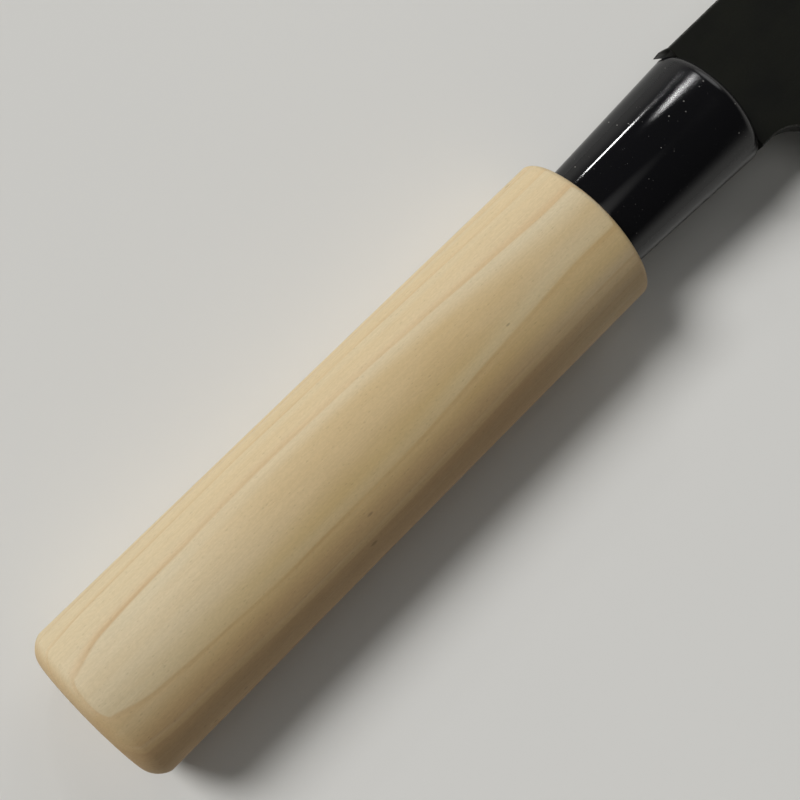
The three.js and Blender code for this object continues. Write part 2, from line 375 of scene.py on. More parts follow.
def shader_socket(material, name):
    shader = next(n for n in material.node_tree.nodes if n.type == "BSDF_PRINCIPLED")
    return shader.inputs[name.replace("_", " ")]


def new_material(name, **numbers):
    """A material with plain numbers on its shader, and the place on the piece in millimetres."""
    material = bpy.data.materials.new(name)
    material.use_nodes = True
    tree = material.node_tree
    for socket, number in numbers.items():
        shader_socket(material, socket).default_value = number
    place = result(tree, "ShaderNodeTexCoord", output="Object")
    return material, result(tree, "ShaderNodeVectorMath", {0: place, 3: PER_METRE}, operation="SCALE")


def feed(material, **values):
    for socket, value in values.items():
        material.node_tree.links.new(value.socket, shader_socket(material, socket))
    return material


def bump(height, depth):
    return result(height.tree, "ShaderNodeBump", {"Height": height, "Distance": depth})


def facing(place):
    return result(place.tree, "ShaderNodeNewGeometry", output="Normal").split()


def stored(place, name):
    return result(place.tree, "ShaderNodeAttribute", output="Fac", attribute_name=name)


# The growth rings of the handle: where the pith lay, in millimetres from the origin, and the wave that
# makes a ring bulge out of the right side in a long oval figure, which a rise closes at the butt
PITH_Y = -7.5
PITH_Z = -70.0
FIRST_RING = 8.72
WAVE_HEIGHT = 0.375
WAVE_MIDDLE = 40.0
WAVE_LENGTH = 110.0
BUTT_RISE = 0.35
RING_WANDER = 0.16

# Ring count below which the wood of the edge side is darker: a real darker ring, darkened further as painted
# shade on the side away from the key lamp
DEEP_RING = -1.36
DEEP_SOFTNESS = 0.06

# Stretches of the handle over which its tones change, in millimetres from the butt
CUT_END = (2.2, 0.6)
LINE_START = (1.0, 6.0)
BUTT_FIGURE = (9.0, 1.0)
HONEY_BUTT = (4.0, 26.0)
PALE_BUTT = (42.0, 6.0)
WARM_START = (14.0, 52.0)
LINE_FADE = (25.0, 60.0)
THIN_LINE = (55.0, 85.0)
FERRULE_FADE = (66.0, 92.0)

# Bands across the handle over which its tones change, in millimetres from its middle
RED_TURN = (1.5, -1.5)
# Painted shade: a russet tint over the edge side, the side that faces away from the key lamp
RED_SHADE_SIDE = (-2.0, -7.5)
# Painted shade over a real darker ring: darker wood over the edge side, away from the key lamp
DARK_RING_SHADE_SIDE = (-4.0, -6.0)
SPINE_SIDE = (0.0, 4.0)
HONEY_START = (0.5, -3.0)
HONEY_END = (-7.5, -5.0)

# Where hands and cleaning begin to dull the ferrule
RUB_START = ferrule_low.x + 12.0 * MM

BUBBLE_TONE = (0.8, 0.74, 0.58)


def ring_count(place, spacing):
    """How many rings a point lies outside the ring that shows on the right side."""
    along, across, above = place.split()
    flat = result(place.tree, "ShaderNodeCombineXYZ", {1: across - PITH_Y, 2: above - PITH_Z})
    reach = result(place.tree, "ShaderNodeVectorMath", {0: flat}, "Value", operation="LENGTH")
    turn = (along - WAVE_MIDDLE) * (FULL_TURN / WAVE_LENGTH)
    wave = (1.0 - turn.maths("COSINE")) * WAVE_HEIGHT + along.between(*BUTT_FIGURE, 0.0, BUTT_RISE)
    wander = (mottle(place, (0.03, 0.11, 0.11), 2.0) - 0.5) * RING_WANDER
    return (reach - (FIRST_RING - PITH_Z) - wave + wander) / (spacing * PER_METRE)


def ring_colours(place, settings):
    """Cream wood with a brown line at each ring, pinkish below the line, and grey then tan above it.

    It is redder and deeper towards the edge side, which is painted shade on the side away from the key lamp
    over a real darker ring, and redder where it is cut at the butt."""
    along, across, _ = place.split()
    count = ring_count(place, settings.ring_spacing)
    line = count.maths("ROUND")
    past = count - line
    patchy = mottle(place, (0.05, 0.2, 0.2), 2.0)
    clear = abs(line).spread(1.0, 0.65) * patchy.spread(0.5, 1.0)
    grey = past.between(-0.02, 0.05) * past.between(0.5, 0.2) * clear
    grey = grey.at_least(along.between(*PALE_BUTT, 0.0, 0.6))
    warm = patchy.spread(0.75, 1.0) * count.between(0.08, 0.4) * along.between(*WARM_START)
    red = patchy.spread(0.45, 0.8) * count.between(0.03, -0.08) * across.between(*RED_TURN)
    # Painted shade: the edge side, away from the key lamp, is tinted russet; the ring part above is real
    # figure
    red = red.at_least(across.between(*RED_SHADE_SIDE, 0.0, 0.95)) * along.between(*FERRULE_FADE, 1.0, 0.4)
    blush = past.between(-0.22, -0.02) * past.between(0.03, 0.0) * clear
    brown = past.between(-0.1, -0.01) * past.between(0.06, 0.01) * clear
    faded = across.between(*SPINE_SIDE) * along.between(*LINE_FADE, 0.2, 0.45)
    brown = brown * (0.55 - faded) * along.between(*LINE_START, 0.3, 1.0)
    brown = brown * along.between(*THIN_LINE, 1.0, 0.7)
    # Painted shade over a real darker ring: the edge side, away from the key lamp, darkens below this ring
    deep = count.between(DEEP_RING + DEEP_SOFTNESS, DEEP_RING - DEEP_SOFTNESS, 0.0, 0.6)
    deep = deep * across.between(*DARK_RING_SHADE_SIDE) * along.between(*FERRULE_FADE, 1.0, 0.5)
    honey = across.between(*HONEY_START) * across.between(*HONEY_END) * along.between(*HONEY_BUTT, 0.1, 0.26)
    layers = (
        (grey, settings.early),
        (warm, settings.tan),
        (red, settings.russet),
        (blush, settings.blush),
        (brown, settings.ring_line),
        (deep, settings.ring_line),
        (honey, settings.honey),
        (along.between(*CUT_END, 0.0, 0.65), settings.russet),
    )
    tone = settings.cream
    for amount, paint in layers:
        tone = mix_colours(amount, tone, paint)
    return tone


def magnolia_wood(settings):
    """Bare pale wood: growth rings through the solid, fibres along the handle and short pores."""
    material, place = new_material("magnolia_wood", Specular_IOR_Level=0.3)
    fibres = streaks(place, (0.16, 4.5, 4.5), 1.2)
    bands = streaks(place, (0.014, 0.55, 0.55), 1.4)
    pores = specks(place, (1.3, 3.0, 3.0), 0.3, 0.3)
    knots = specks(place, (0.12, 0.3, 0.3), 0.07, 0.4)
    grain = mottle(place, (1.6, 4.0, 4.0), 3.0)
    end_grain = abs(facing(place)[0]).between(0.55, 0.95)
    light = fibres.between(0.15, 0.85, 0.955, 1.03) * grain.spread(0.965, 1.025)
    light = (light - pores * 0.09 - knots * 0.3) * end_grain.spread(1.0, 0.93)
    shade = result(place.tree, "ShaderNodeCombineColor", {0: light, 1: light, 2: light})
    tone = mix_colours(bands.between(0.15, 0.85, 0.0, 0.2), ring_colours(place, settings), settings.tan)
    return feed(
        material,
        Base_Color=mix_colours(1.0, tone, shade, "MULTIPLY"),
        Roughness=fibres.between(0.1, 0.9, 0.66, 0.54),
        Normal=bump(fibres - pores * 0.8, 0.02 * MM),
    )


def black_plastic(settings):
    """Glossy black moulding, rubbed dull towards the blade, with dust and faint smears."""
    material, place = new_material("black_plastic", IOR=1.49)
    dust = specks(place, (0.9, 0.9, 0.9), 0.11, 0.22)
    lint = specks(place, (3.2, 3.2, 3.2), 0.16, 0.07)
    smears = mottle(place, (0.16, 0.4, 0.4), 3.0)
    grain = mottle(place, (5.0, 7.0, 7.0), 2.0)
    rubbed = place.split()[0].between(RUB_START * PER_METRE, ferrule_high.x * PER_METRE)
    bits = dust.at_least(lint * 0.6)
    return feed(
        material,
        Base_Color=mix_colours(bits * 0.5, settings.plastic, settings.dust),
        Roughness=mix_values(smears, 0.03, 0.06) + rubbed * 0.1 + bits * 0.4,
        Normal=bump(grain * (rubbed * 0.8 + 0.05) + bits * 2.0, 0.004 * MM),
    )


def forged_iron(settings):
    """Black forge scale on the cheeks, and soft iron where the bevel was ground through it."""
    material, place = new_material("forged_iron", Specular_IOR_Level=0.2)
    flatness = abs(facing(place)[2])
    ragged = mottle(place, (0.9, 1.4, 1.4), 5.0)
    patches = mottle(place, (0.09, 0.16, 0.16), 5.0)
    grit = mottle(place, (2.6, 2.6, 2.6), 4.0)
    pits = specks(place, (1.1, 1.1, 1.1), 0.24, 0.3)
    marks = streaks(place, (7.0, 0.35, 1.0), 1.8)
    line = (ragged - 0.5) * (0.9 * MM) + stored(place, "grind_rise")
    neck = ferrule_high.x * PER_METRE
    wear = flatness.between(0.15, 0.5) * flatness.between(0.98, 0.8) * grit.between(0.1, 0.8, 0.02, 0.2)
    scale = line.between(-0.12 * MM, 0.22 * MM) * (1.0 - wear)
    scale = scale * place.split()[0].between(neck - 1.4, neck - 0.2, 0.8, 1.0)
    dark = mix_colours(patches, settings.scale_dark, settings.scale_light)
    dark = mix_colours(grit * 0.35, dark, settings.scale_dark)
    relief = mix_values(scale, marks * 0.25, grit + patches - pits * 1.2)
    return feed(
        material,
        Base_Color=mix_colours(scale, settings.bare_iron, dark),
        Metallic=1.0 - scale,
        Roughness=mix_values(scale, marks * 0.2 + 0.26, grit * 0.14 + 0.44),
        Normal=bump(relief, 0.006 * MM),
    )


def hard_steel(settings):
    """Core steel: hazy along the weld line, brighter towards the edge, and honed at the edge bevel."""
    material, place = new_material("hard_steel", Metallic=1.0)
    rise = stored(place, "edge_rise")
    marks = streaks(place, (9.0, 0.3, 1.0), 1.8)
    cloud = mottle(place, (0.5, 0.9, 0.9), 4.0)
    hazy = ((cloud - 0.5) * (1.2 * MM) + rise).between(1.2 * MM, 3.4 * MM)
    tone = mix_colours(hazy, settings.steel, settings.haze)
    gloss = mix_values(hazy, 0.2, 0.38) + marks * 0.12
    honed = rise.between(settings.micro_bevel * 1.02, settings.micro_bevel * 0.98)
    return feed(
        material,
        Base_Color=mix_colours(rise.between(6.0 * MM, 7.0 * MM), tone, settings.scale_light),
        Roughness=mix_values(honed, gloss, 0.12),
        Normal=bump(marks * 0.3, 0.01 * MM),
    )


def cured_resin(settings):
    """Amber adhesive with trapped bubbles, sealed round the tail of the tang."""
    material, place = new_material("cured_resin", Coat_Weight=0.2)
    cloud = mottle(place, (0.25, 0.4, 0.4), 3.0)
    bubbles = specks(place, (1.3, 1.3, 1.3), 0.3, 0.4)
    deep = [0.62 * channel for channel in settings.resin]
    tone = mix_colours(cloud, deep, settings.resin)
    return feed(
        material,
        Base_Color=mix_colours(bubbles * 0.4, tone, BUBBLE_TONE),
        Roughness=mix_values(cloud, 0.32, 0.5),
        Normal=bump(bubbles * -1.0, 0.08 * MM),
    )


# Handle and ferrule, lofted through oval rings

STATION_FIELDS = ("half_height", "right_depth", "left_depth", "corner", "ridge")
ROUND_STEPS = 10
STEPS_ROUND = 144
SHARP_ANGLE = math.radians(32.0)
WELD_DISTANCE = 0.001 * MM
SLOT_CORNER = 0.15
BUTT_RINGS = (0.0, 0.4, 0.75, 0.93)
BODY_RINGS = 60
SHELL_RINGS = 22
BACK_STEPS = 4
NOSE_STEPS = 14
RIDGE_SOFTNESS = 0.4
RIM_CRISPNESS = 1.28


def oval_loft_tree():
    """Builds the skin that joins oval rings, one for each vertex of the line it is given.

    A ring is an oval whose right side partly rises to a ridge with a rounded crest. Its corner value
    turns the oval into a rounded rectangle as it goes from 1 towards 0."""
    inputs = [
        ("Stations", "NodeSocketGeometry"),
        ("Steps Round", "NodeSocketInt"),
        ("Sharp Angle", "NodeSocketFloat"),
        ("Weld Distance", "NodeSocketFloat"),
        ("Finish", "NodeSocketMaterial"),
    ]
    tree, given, inlet = new_group("oval_loft", "GeometryNodeTree", inputs, "Geometry", "NodeSocketGeometry")
    stations = given["Stations"]
    steps = given["Steps Round"]
    columns = steps + 1.0
    index = result(tree, "GeometryNodeInputIndex")
    ring = ((index + 0.5) / columns).maths("FLOOR")
    turn = (index - ring * columns).maths("MODULO", steps) / steps * FULL_TURN

    def at_ring(field):
        inputs = {0: stations, "Value": field, "Index": ring}
        return result(tree, "GeometryNodeSampleIndex", inputs, data_type="FLOAT")

    def named(name):
        return result(tree, "GeometryNodeInputNamedAttribute", {"Name": name}, data_type="FLOAT")

    fields = {name: at_ring(named(name)) for name in STATION_FIELDS}
    along = at_ring(result(tree, "GeometryNodeInputPosition").split()[0])

    def cornered(wave):
        return wave.maths("SIGN") * abs(wave).maths("POWER", fields["corner"])

    across = cornered(turn.maths("COSINE"))
    out = cornered(turn.maths("SINE"))
    slant = (across * across + RIDGE_SOFTNESS ** 2).maths("SQRT")
    fall = math.hypot(1.0, RIDGE_SOFTNESS) - RIDGE_SOFTNESS
    crest = (1.0 - (slant - RIDGE_SOFTNESS) / fall) * out.maths("GREATER_THAN", 0.0)
    ridged = mix_values(fields["ridge"], out.at_least(0.0), crest)
    depth = fields["right_depth"] * ridged + fields["left_depth"] * out.maths("MINIMUM", 0.0)
    place = result(tree, "ShaderNodeCombineXYZ", {0: along, 1: fields["half_height"] * across, 2: depth})
    count = result(tree, "GeometryNodeAttributeDomainSize", {0: stations}, "Point Count")
    sharp = result(tree, "GeometryNodeInputMeshEdgeAngle").maths("GREATER_THAN", given["Sharp Angle"])
    crease = {"Selection": sharp, "Shade Smooth": False}
    skin = result(tree, "GeometryNodeMeshGrid", {"Vertices X": count, "Vertices Y": columns})
    skin = result(tree, "GeometryNodeSetPosition", {"Geometry": skin, "Position": place})
    skin = result(tree, "GeometryNodeMergeByDistance", {"Geometry": skin, "Distance": given["Weld Distance"]})
    skin = result(tree, "GeometryNodeFlipFaces", {0: skin})
    skin = result(tree, "GeometryNodeSetShadeSmooth", {0: skin, "Shade Smooth": True})
    skin = result(tree, "GeometryNodeSetShadeSmooth", {0: skin, **crease}, domain="EDGE")
    skin = result(tree, "GeometryNodeRealizeInstances", {0: skin})
    skin = result(tree, "GeometryNodeSetMaterial", {0: skin, "Material": given["Finish"]})
    tree.links.new(skin.socket, inlet)
    return tree


def rounded_end(radius, steps, crispness=1.0):
    """From the flat face outwards: how far back each ring stands, and how far it is drawn in.

    The crispness is 1 for a round end, and 2 for a straight bevel."""
    turns = [math.pi / 2 * step / steps for step in range(steps + 1)]
    ends = [(max(0.0, math.cos(turn)) ** crispness, math.sin(turn) ** crispness) for turn in turns]
    return [(radius * (1 - along), radius * (1 - across)) for along, across in ends]


def loft_oval(name, stations, material):
    """A closed piece from its stations: place along X, half height, depths, corner and ridge."""
    line = bpy.data.meshes.new(name + "_stations")
    line.from_pydata([(station[0], 0.0, 0.0) for station in stations], [], [])
    for number, field in enumerate(STATION_FIELDS, start=1):
        values = line.attributes.new(field, "FLOAT", "POINT").data
        values.foreach_set("value", [station[number] for station in stations])
    piece = bpy.data.objects.new(name, line)
    bpy.context.scene.collection.objects.link(piece)
    tree = bpy.data.node_groups.get("oval_loft") or oval_loft_tree()
    modifier = piece.modifiers.new("oval_loft", "NODES")
    modifier.node_group = tree
    values = {
        "Steps Round": STEPS_ROUND,
        "Sharp Angle": SHARP_ANGLE,
        "Weld Distance": WELD_DISTANCE,
        "Finish": material,
    }
    for socket in tree.interface.items_tree:
        if socket.in_out == "INPUT" and socket.name in values:
            modifier[socket.identifier] = values[socket.name]
    bpy.context.view_layer.update()
    evaluated = piece.evaluated_get(bpy.context.evaluated_depsgraph_get())
    skin = bpy.data.meshes.new_from_object(evaluated)
    piece.modifiers.remove(modifier)
    piece.data = skin
    skin.name = name
    bpy.data.meshes.remove(line)
    return piece


def finish_piece(piece, node_name):
    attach(piece, BODY)
    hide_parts(node_name)


def bore_station(ferrule, x, inset, ridge):
    """The bore of the ferrule, and with the fit gap as its inset the tenon that fills it."""
    drawn = ferrule.wall + inset
    return (
        x,
        ferrule.back_half_height - drawn,
        ferrule.back_right_depth - drawn,
        ferrule.back_left_depth - drawn,
        1.0,
        ridge,
    )


def slot_station(ferrule, x):
    return (x, ferrule.slot_half_height, ferrule.slot_half_depth, ferrule.slot_half_depth, SLOT_CORNER, 0.0)


def handle_stations(handle, ferrule):
    ridge = handle.ridge_share

    def wood(x, inset, size=1.0):
        sides = (handle.half_height, handle.right_depth, handle.left_depth)
        return (x, *[size * (side - inset) for side in sides], 1.0, ridge)

    flat = [wood(0.0, handle.butt_round, size) for size in BUTT_RINGS]
    rim = rounded_end(handle.butt_round, ROUND_STEPS, RIM_CRISPNESS)
    butt = [wood(back, inset) for back, inset in rim]
    front = rounded_end(handle.front_round, ROUND_STEPS, RIM_CRISPNESS)
    places = np.linspace(handle.butt_round, handle.body_length - handle.front_round, BODY_RINGS)
    body = [wood(float(x), 0.0) for x in places[1:-1]]
    nose = [wood(handle.body_length - back, inset) for back, inset in reversed(front)]
    tenon = [bore_station(ferrule, x, ferrule.fit_gap, ridge) for x in (handle.body_length, handle.tenon_end)]
    mortise = [slot_station(ferrule, x) for x in (handle.tenon_end, handle.mortise_end)]
    bottom = (handle.mortise_end, 0.0, 0.0, 0.0, SLOT_CORNER, 0.0)
    return [*flat, *butt, *body, *nose, *tenon, *mortise, bottom]


def ferrule_stations(handle, ferrule, front_x):
    ridge = handle.ridge_share
    back_x = handle.body_length

    def shell(x, inset):
        grown = ferrule.flare * (x - back_x) / (front_x - back_x) - inset
        sides = (ferrule.back_half_height, ferrule.back_right_depth, ferrule.back_left_depth)
        return (x, *[side + grown for side in sides], 1.0, ridge)

    bore_end = front_x - ferrule.face_wall
    mouth = bore_station(ferrule, back_x, 0.0, ridge)
    rim = rounded_end(ferrule.back_round, BACK_STEPS)
    back = [shell(back_x + set_back, inset) for set_back, inset in rim]
    places = np.linspace(back_x + ferrule.back_round, front_x - ferrule.front_round, SHELL_RINGS)
    side = [shell(float(x), 0.0) for x in places[1:-1]]
    nose = reversed(rounded_end(ferrule.front_round, NOSE_STEPS))
    front = [shell(front_x - set_back, inset) for set_back, inset in nose]
    slot = [slot_station(ferrule, front_x), slot_station(ferrule, bore_end)]
    bore = [bore_station(ferrule, bore_end, 0.0, ridge), mouth]
    return [mouth, *back, *side, *front, *slot, *bore]


# Blade, three layers over one plan

# Rows and columns of the mesh
EDGE_COLUMNS = 240
TANG_COLUMNS = 20
BURR_COLUMNS = 5
BEVEL_ROWS = 6
LOWER_ROWS = 3
EDGE_ROWS = 4
EASE_STEPS = 6
CHOIL_STEPS = 20

# Marks on the vertices of the lines that stay crisp
GRIND_CREASE = 1
HONED_CREASE = 2

# The burr: its height at the root and the tip, how it thins, and how its lower line curves and rounds
BURR_ROOT = 0.6 * MM
BURR_TIP = 0.14 * MM
BURR_THINNING = 0.5 * MM
BURR_CURVE = 0.45
BURR_ROUND = 0.6

# Least thickness of the cladding, and the share of the bevel over which it grows to that
THINNEST = 0.01 * MM
THIN_REACH = 0.05

# Largest share of the cheek that is eased, and of the bevel that is honed
EASING_SHARE = 0.1
HONED_SHARE = 0.2

# Lengths of the waves in the grind line and the weld line, and how the waves die out
WAVE_PHASE = 1.7
GRIND_WAVES = (0.047, 0.0193, 0.0081)
WELD_WAVES = (0.041, 0.0173, 0.0079, 0.0047)
WELD_CALM = 10.0 * MM
HEEL_FADE = 12.0
TIP_FADE = 6.0


def bezier(points, t):
    """Points of a Bezier curve at each value of t."""
    levels = [np.outer(np.ones_like(t), point) for point in points]
    while len(levels) > 1:
        levels = [low + (high - low) * t[:, None] for low, high in zip(levels, levels[1:])]
    return levels[0]


def waves(x, height, lengths):
    """A line that wanders by about the height, from a few sine waves of the lengths given."""
    total = sum(np.sin(FULL_TURN * x / span + WAVE_PHASE * number) for number, span in enumerate(lengths))
    return height * total / len(lengths)


class BladePlan:
    """The lines of the blade's outline and the thickness over it, from its settings."""

    def __init__(self, settings):
        self.s = settings
        self.neck_end = settings.shoulder + settings.neck_straight
        self.heel_x = self.neck_end + settings.choil_radius
        self.choil_end = -settings.neck_drop - settings.choil_radius
        self.grind_start = self.choil_end - settings.choil_to_grind
        self.tip = np.array([settings.tip_x, settings.spine - settings.tip_drop])
        self.choil_share = settings.choil_to_grind / (settings.spine - self.grind_start)

    def edge(self, t):
        s = self.s
        belly = (self.tip[0] - s.belly_reach, self.tip[1] - s.belly_drop)
        return bezier([(self.heel_x, s.edge), (self.heel_x + s.flat_reach, s.edge), belly, self.tip], t)

    def grind(self, t):
        s = self.s
        belly = (self.tip[0] - s.belly_reach, self.tip[1] - s.belly_drop + s.bevel_at_belly)
        start = (self.heel_x, self.grind_start)
        flat = (self.heel_x + s.flat_reach, self.grind_start)
        line = bezier([start, flat, belly, self.tip], t)
        fade = np.clip(t * HEEL_FADE, 0.0, 1.0) * np.clip((1.0 - t) * TIP_FADE, 0.0, 1.0)
        line[:, 1] += fade * waves(line[:, 0], s.grind_wave, GRIND_WAVES)
        return line

    def spine_height(self, x):
        """Height of the spine at each x: straight, then one curve to the tip."""
        s = self.s
        start = self.heel_x + s.spine_straight
        bend = self.tip[0] - s.spine_curve_reach
        a = start - 2.0 * bend + self.tip[0]
        b = 2.0 * (bend - start)
        c = start - np.maximum(x, start)
        u = (-b + np.sqrt(np.maximum(b * b - 4.0 * a * c, 0.0))) / (2.0 * a)
        return s.spine - s.tip_drop * np.clip(u, 0.0, 1.0) ** 2

    def thinning(self, x):
        """Share of the thickness that is kept towards the point."""
        s = self.s
        near = 1.0 - np.clip((self.tip[0] - x) / s.point_reach, 0.0, 1.0)
        return 1.0 - (1.0 - s.point_share) * near ** 2

    def cheek(self, x, y):
        """Half the thickness of the blade on its cheeks, neck and tang."""
        s = self.s
        fall = (s.spine_half - s.grind_half) / (s.spine - self.grind_start)
        taper = (s.spine_half - s.tip_half - fall * s.tip_drop) / (self.tip[0] - self.heel_x)
        half = s.spine_half - taper * np.maximum(0.0, x - self.heel_x) - fall * (s.spine - y)
        return half * self.thinning(x)

    def core(self, x):
        return self.s.core_half * self.thinning(x)

    def bevel(self, x, at_grind, rise):
        """Half the thickness on the bevel: rise is 0 at the edge and 1 at the grind line."""
        s = self.s
        start = s.edge_half * self.thinning(x)
        return start + (at_grind - start) * rise + 4.0 * s.bevel_bulge * rise * (1.0 - rise)

    def weld_rise(self, x, height):
        """Where the core comes out on the bevel, as a share of the way up to the grind line."""
        s = self.s
        level = (s.core_half - s.edge_half) / (s.grind_half - s.edge_half)
        wander = waves(x, s.weld_wave, WELD_WAVES)
        return level + wander * np.minimum(1.0, height / WELD_CALM) / np.maximum(height, MM)


class BladeLayer:
    """Gathers the vertices and faces of one layer, seen in plan, with an outer and an inner height."""

    def __init__(self):
        self.places = []
        self.heights = []
        self.marks = []
        self.faces = []

    def add(self, x, y, outer, inner, grind_rise, edge_rise, crease):
        self.places.append((float(x), float(y)))
        self.heights.append((float(outer), float(inner)))
        self.marks.append((float(grind_rise), float(edge_rise), float(crease)))
        return len(self.places) - 1

    def fill(self, left, right):
        """Quads between two columns of vertices that run up the blade side by side."""
        for low in range(len(left) - 1):
            self.faces.append((left[low], right[low], right[low + 1], left[low + 1]))

    def outline(self):
        """Edges that only one face uses, in that face's direction."""
        used = {}
        for face in self.faces:
            for start, end in zip(face, face[1:] + face[:1]):
                used[(start, end)] = True
        return [pair for pair in used if (pair[1], pair[0]) not in used]

    def mesh(self, name, side):
        """A closed mesh. Side is 1 for the right of the blade and -1 for the left."""
        count = len(self.places)
        outer = [(x, y, side * high) for (x, y), (high, _) in zip(self.places, self.heights)]
        inner = [(x, y, side * low) for (x, y), (_, low) in zip(self.places, self.heights)]
        faces = list(self.faces)
        faces += [tuple(corner + count for corner in reversed(face)) for face in self.faces]
        faces += [(start, start + count, end + count, end) for start, end in self.outline()]
        if side < 0:
            faces = [tuple(reversed(face)) for face in faces]
        mesh = bpy.data.meshes.new(name)
        mesh.from_pydata(outer + inner, [], faces)
        for number, field in enumerate(("grind_rise", "edge_rise", "crease")):
            values = mesh.attributes.new(field, "FLOAT", "POINT").data
            values.foreach_set("value", [mark[number] for mark in self.marks] * 2)
        return mesh


def blade_layer(plan, whole):
    """One layer of the blade in plan. The core is the whole blade, and a cladding stops at the weld line."""
    s = plan.s
    layer = BladeLayer()
    ease = rounded_end(s.easing, EASE_STEPS)
    last_ease = len(ease) - 1
    burr_foot = s.spine - BURR_ROOT
    low, high = s.easing - s.neck_drop, s.spine - s.easing
    levels = [
        *np.linspace(low, -s.tang_root, 3)[1:],
        *np.linspace(-s.tang_root, s.tang_root, 5)[1:],
        *np.linspace(s.tang_root, burr_foot, 3)[1:],
        high,
    ]
    shares = [(level - low) / (high - low) for level in levels]
    tang_rows = slice(last_ease + 2, last_ease + 7)
    burr_rows = slice(last_ease + len(shares) - 1, None)

    def cheek_vertex(x, y, drop, grind_y, edge_y):
        inner = plan.core(x)
        if whole:
            return layer.add(x, y, inner, -inner, y - grind_y, y - edge_y, 0)
        outer = max(plan.cheek(x, y) - drop, inner + THINNEST)
        return layer.add(x, y, outer, inner, y - grind_y, y - edge_y, 0)

    def neck_vertex(x, y, drop):
        return cheek_vertex(x, y, drop, plan.grind_start, s.edge)

    def upper_rows(foot, top, easing, grind_y, edge_y):
        """From the foot of a column up to the spine, and over its eased corner."""
        size = easing / s.easing
        rows = []
        for part in shares:
            x, y = foot + (np.array([top[0], top[1] - easing]) - foot) * part
            rows.append(cheek_vertex(x, y, 0.0, grind_y, edge_y))
        for reach, drop in reversed(ease[:-1]):
            rows.append(cheek_vertex(top[0], top[1] - reach * size, drop * size, grind_y, edge_y))
        return rows

    heel_t = [reach / (3.0 * s.flat_reach) for reach, _ in ease]
    t = np.array([*heel_t, *np.linspace(heel_t[-1], 1.0, EDGE_COLUMNS + 1)[1:]])
    edge, grind = plan.edge(t), plan.grind(t)
    spine = plan.spine_height(edge[:, 0])
    bevel_height = grind[:, 1] - edge[:, 1]
    weld = plan.weld_rise(edge[:, 0], bevel_height)

    def bevel_rows(column, drop):
        """From the edge, or for a cladding from the weld line, up to the grind line."""
        x, edge_y = edge[column]
        grind_y = grind[column, 1]
        at_grind = plan.cheek(x, grind_y)
        at_weld = plan.bevel(x, at_grind, weld[column])
        honed = min(HONED_SHARE, s.micro_bevel / max(bevel_height[column], MM))
        rises = [*np.linspace(weld[column], 1.0, BEVEL_ROWS + 1)]
        if whole:
            rises = [0.0, *np.linspace(honed, weld[column], EDGE_ROWS + 1)[:-1], *rises]
        rows = []
        for rise in rises:
            y = edge_y + (grind_y - edge_y) * rise
            crease = GRIND_CREASE if rise == 1.0 else 0
            if rise < weld[column]:
                outer = plan.bevel(x, at_grind, max(rise, honed)) * min(1.0, rise / honed)
                inner = -outer
                crease = HONED_CREASE if rise == honed else 0
            else:
                part = (rise - weld[column]) / (1.0 - weld[column])
                inner = at_weld + (plan.core(x) - at_weld) * part
                least = inner + THINNEST * min(1.0, part / THIN_REACH)
                outer = max(plan.bevel(x, at_grind, rise) - drop, least)
            if whole and rise >= weld[column]:
                outer, inner = inner, -inner
            rows.append(layer.add(x, y, outer, inner, y - grind_y, y - edge_y, crease))
        return rows

    columns = []
    for column in range(len(t)):
        x, edge_y = edge[column]
        grind_y = grind[column, 1]
        drop = ease[column][1] if column < last_ease else 0.0
        rows = bevel_rows(column, drop)
        choil_y = grind_y + (spine[column] - grind_y) * plan.choil_share
        for y in np.linspace(grind_y, choil_y, LOWER_ROWS + 1)[1:]:
            rows.append(cheek_vertex(x, y, drop, grind_y, edge_y))
        columns.append((rows, len(rows) - 1))
        if column >= last_ease:
            easing = min(s.easing, EASING_SHARE * (spine[column] - grind_y))
            rows += upper_rows(np.array([x, choil_y]), (x, spine[column]), easing, grind_y, edge_y)
    for (left, _), (right, _) in zip(columns, columns[1:]):
        shared = min(len(left), len(right))
        layer.fill(left[:shared], right[:shared])

    turns = np.linspace(math.pi / 2, 0.0, CHOIL_STEPS + 1)[:-1]
    underside = [(x, -s.neck_drop) for x in (s.shoulder, s.shoulder + s.neck_straight / 2)]
    path = [(foot, (0.0, 1.0)) for foot in underside]
    for turn in turns:
        out = np.array([math.cos(turn), math.sin(turn)])
        path.append((np.array([plan.neck_end, plan.choil_end]) + s.choil_radius * out, out))
    neck = []
    for number, (foot, out) in enumerate(path):
        foot, out = np.array(foot), np.array(out)
        rows = []
        for reach, drop in ease:
            x, y = foot + out * reach
            rows.append(neck_vertex(x, y, drop))
        top_x = s.shoulder + (plan.heel_x + s.easing - s.shoulder) * number / len(path)
        rows += upper_rows(foot + out * s.easing, (top_x, s.spine), s.easing, plan.grind_start, s.edge)
        neck.append(rows)
    choil_row = columns[0][1]
    joined, _ = columns[last_ease]
    neck.append([columns[k][0][choil_row] for k in range(last_ease + 1)] + joined[choil_row + 1:])
    for left, right in zip(neck, neck[1:]):
        layer.fill(left, right)

    before = neck[0][tang_rows]
    for part in np.linspace(0.0, 1.0, TANG_COLUMNS + 1)[1:]:
        x = s.shoulder + (s.tang_end_x - s.shoulder) * part
        half = s.tang_root + (s.tang_end - s.tang_root) * part
        rows = [neck_vertex(x, y, 0.0) for y in np.linspace(-half, half, len(before))]
        layer.fill(rows, before)
        before = rows

    before = neck[0][burr_rows]
    for part in np.linspace(0.0, 1.0, BURR_COLUMNS + 1)[1:]:
        x = s.shoulder - s.burr_length * part
        top = s.spine + s.burr_lift * part
        foot = top - BURR_ROOT + (BURR_ROOT - BURR_TIP) * part ** BURR_CURVE
        size = min(1.0, BURR_ROUND * (top - foot) / s.easing)
        thinned = BURR_THINNING * part ** 2
        rows = [neck_vertex(x, foot, thinned)]
        for reach, drop in reversed(ease):
            rows.append(neck_vertex(x, top - reach * size, drop * size + thinned))
        layer.fill(rows, before)
        before = rows
    return layer


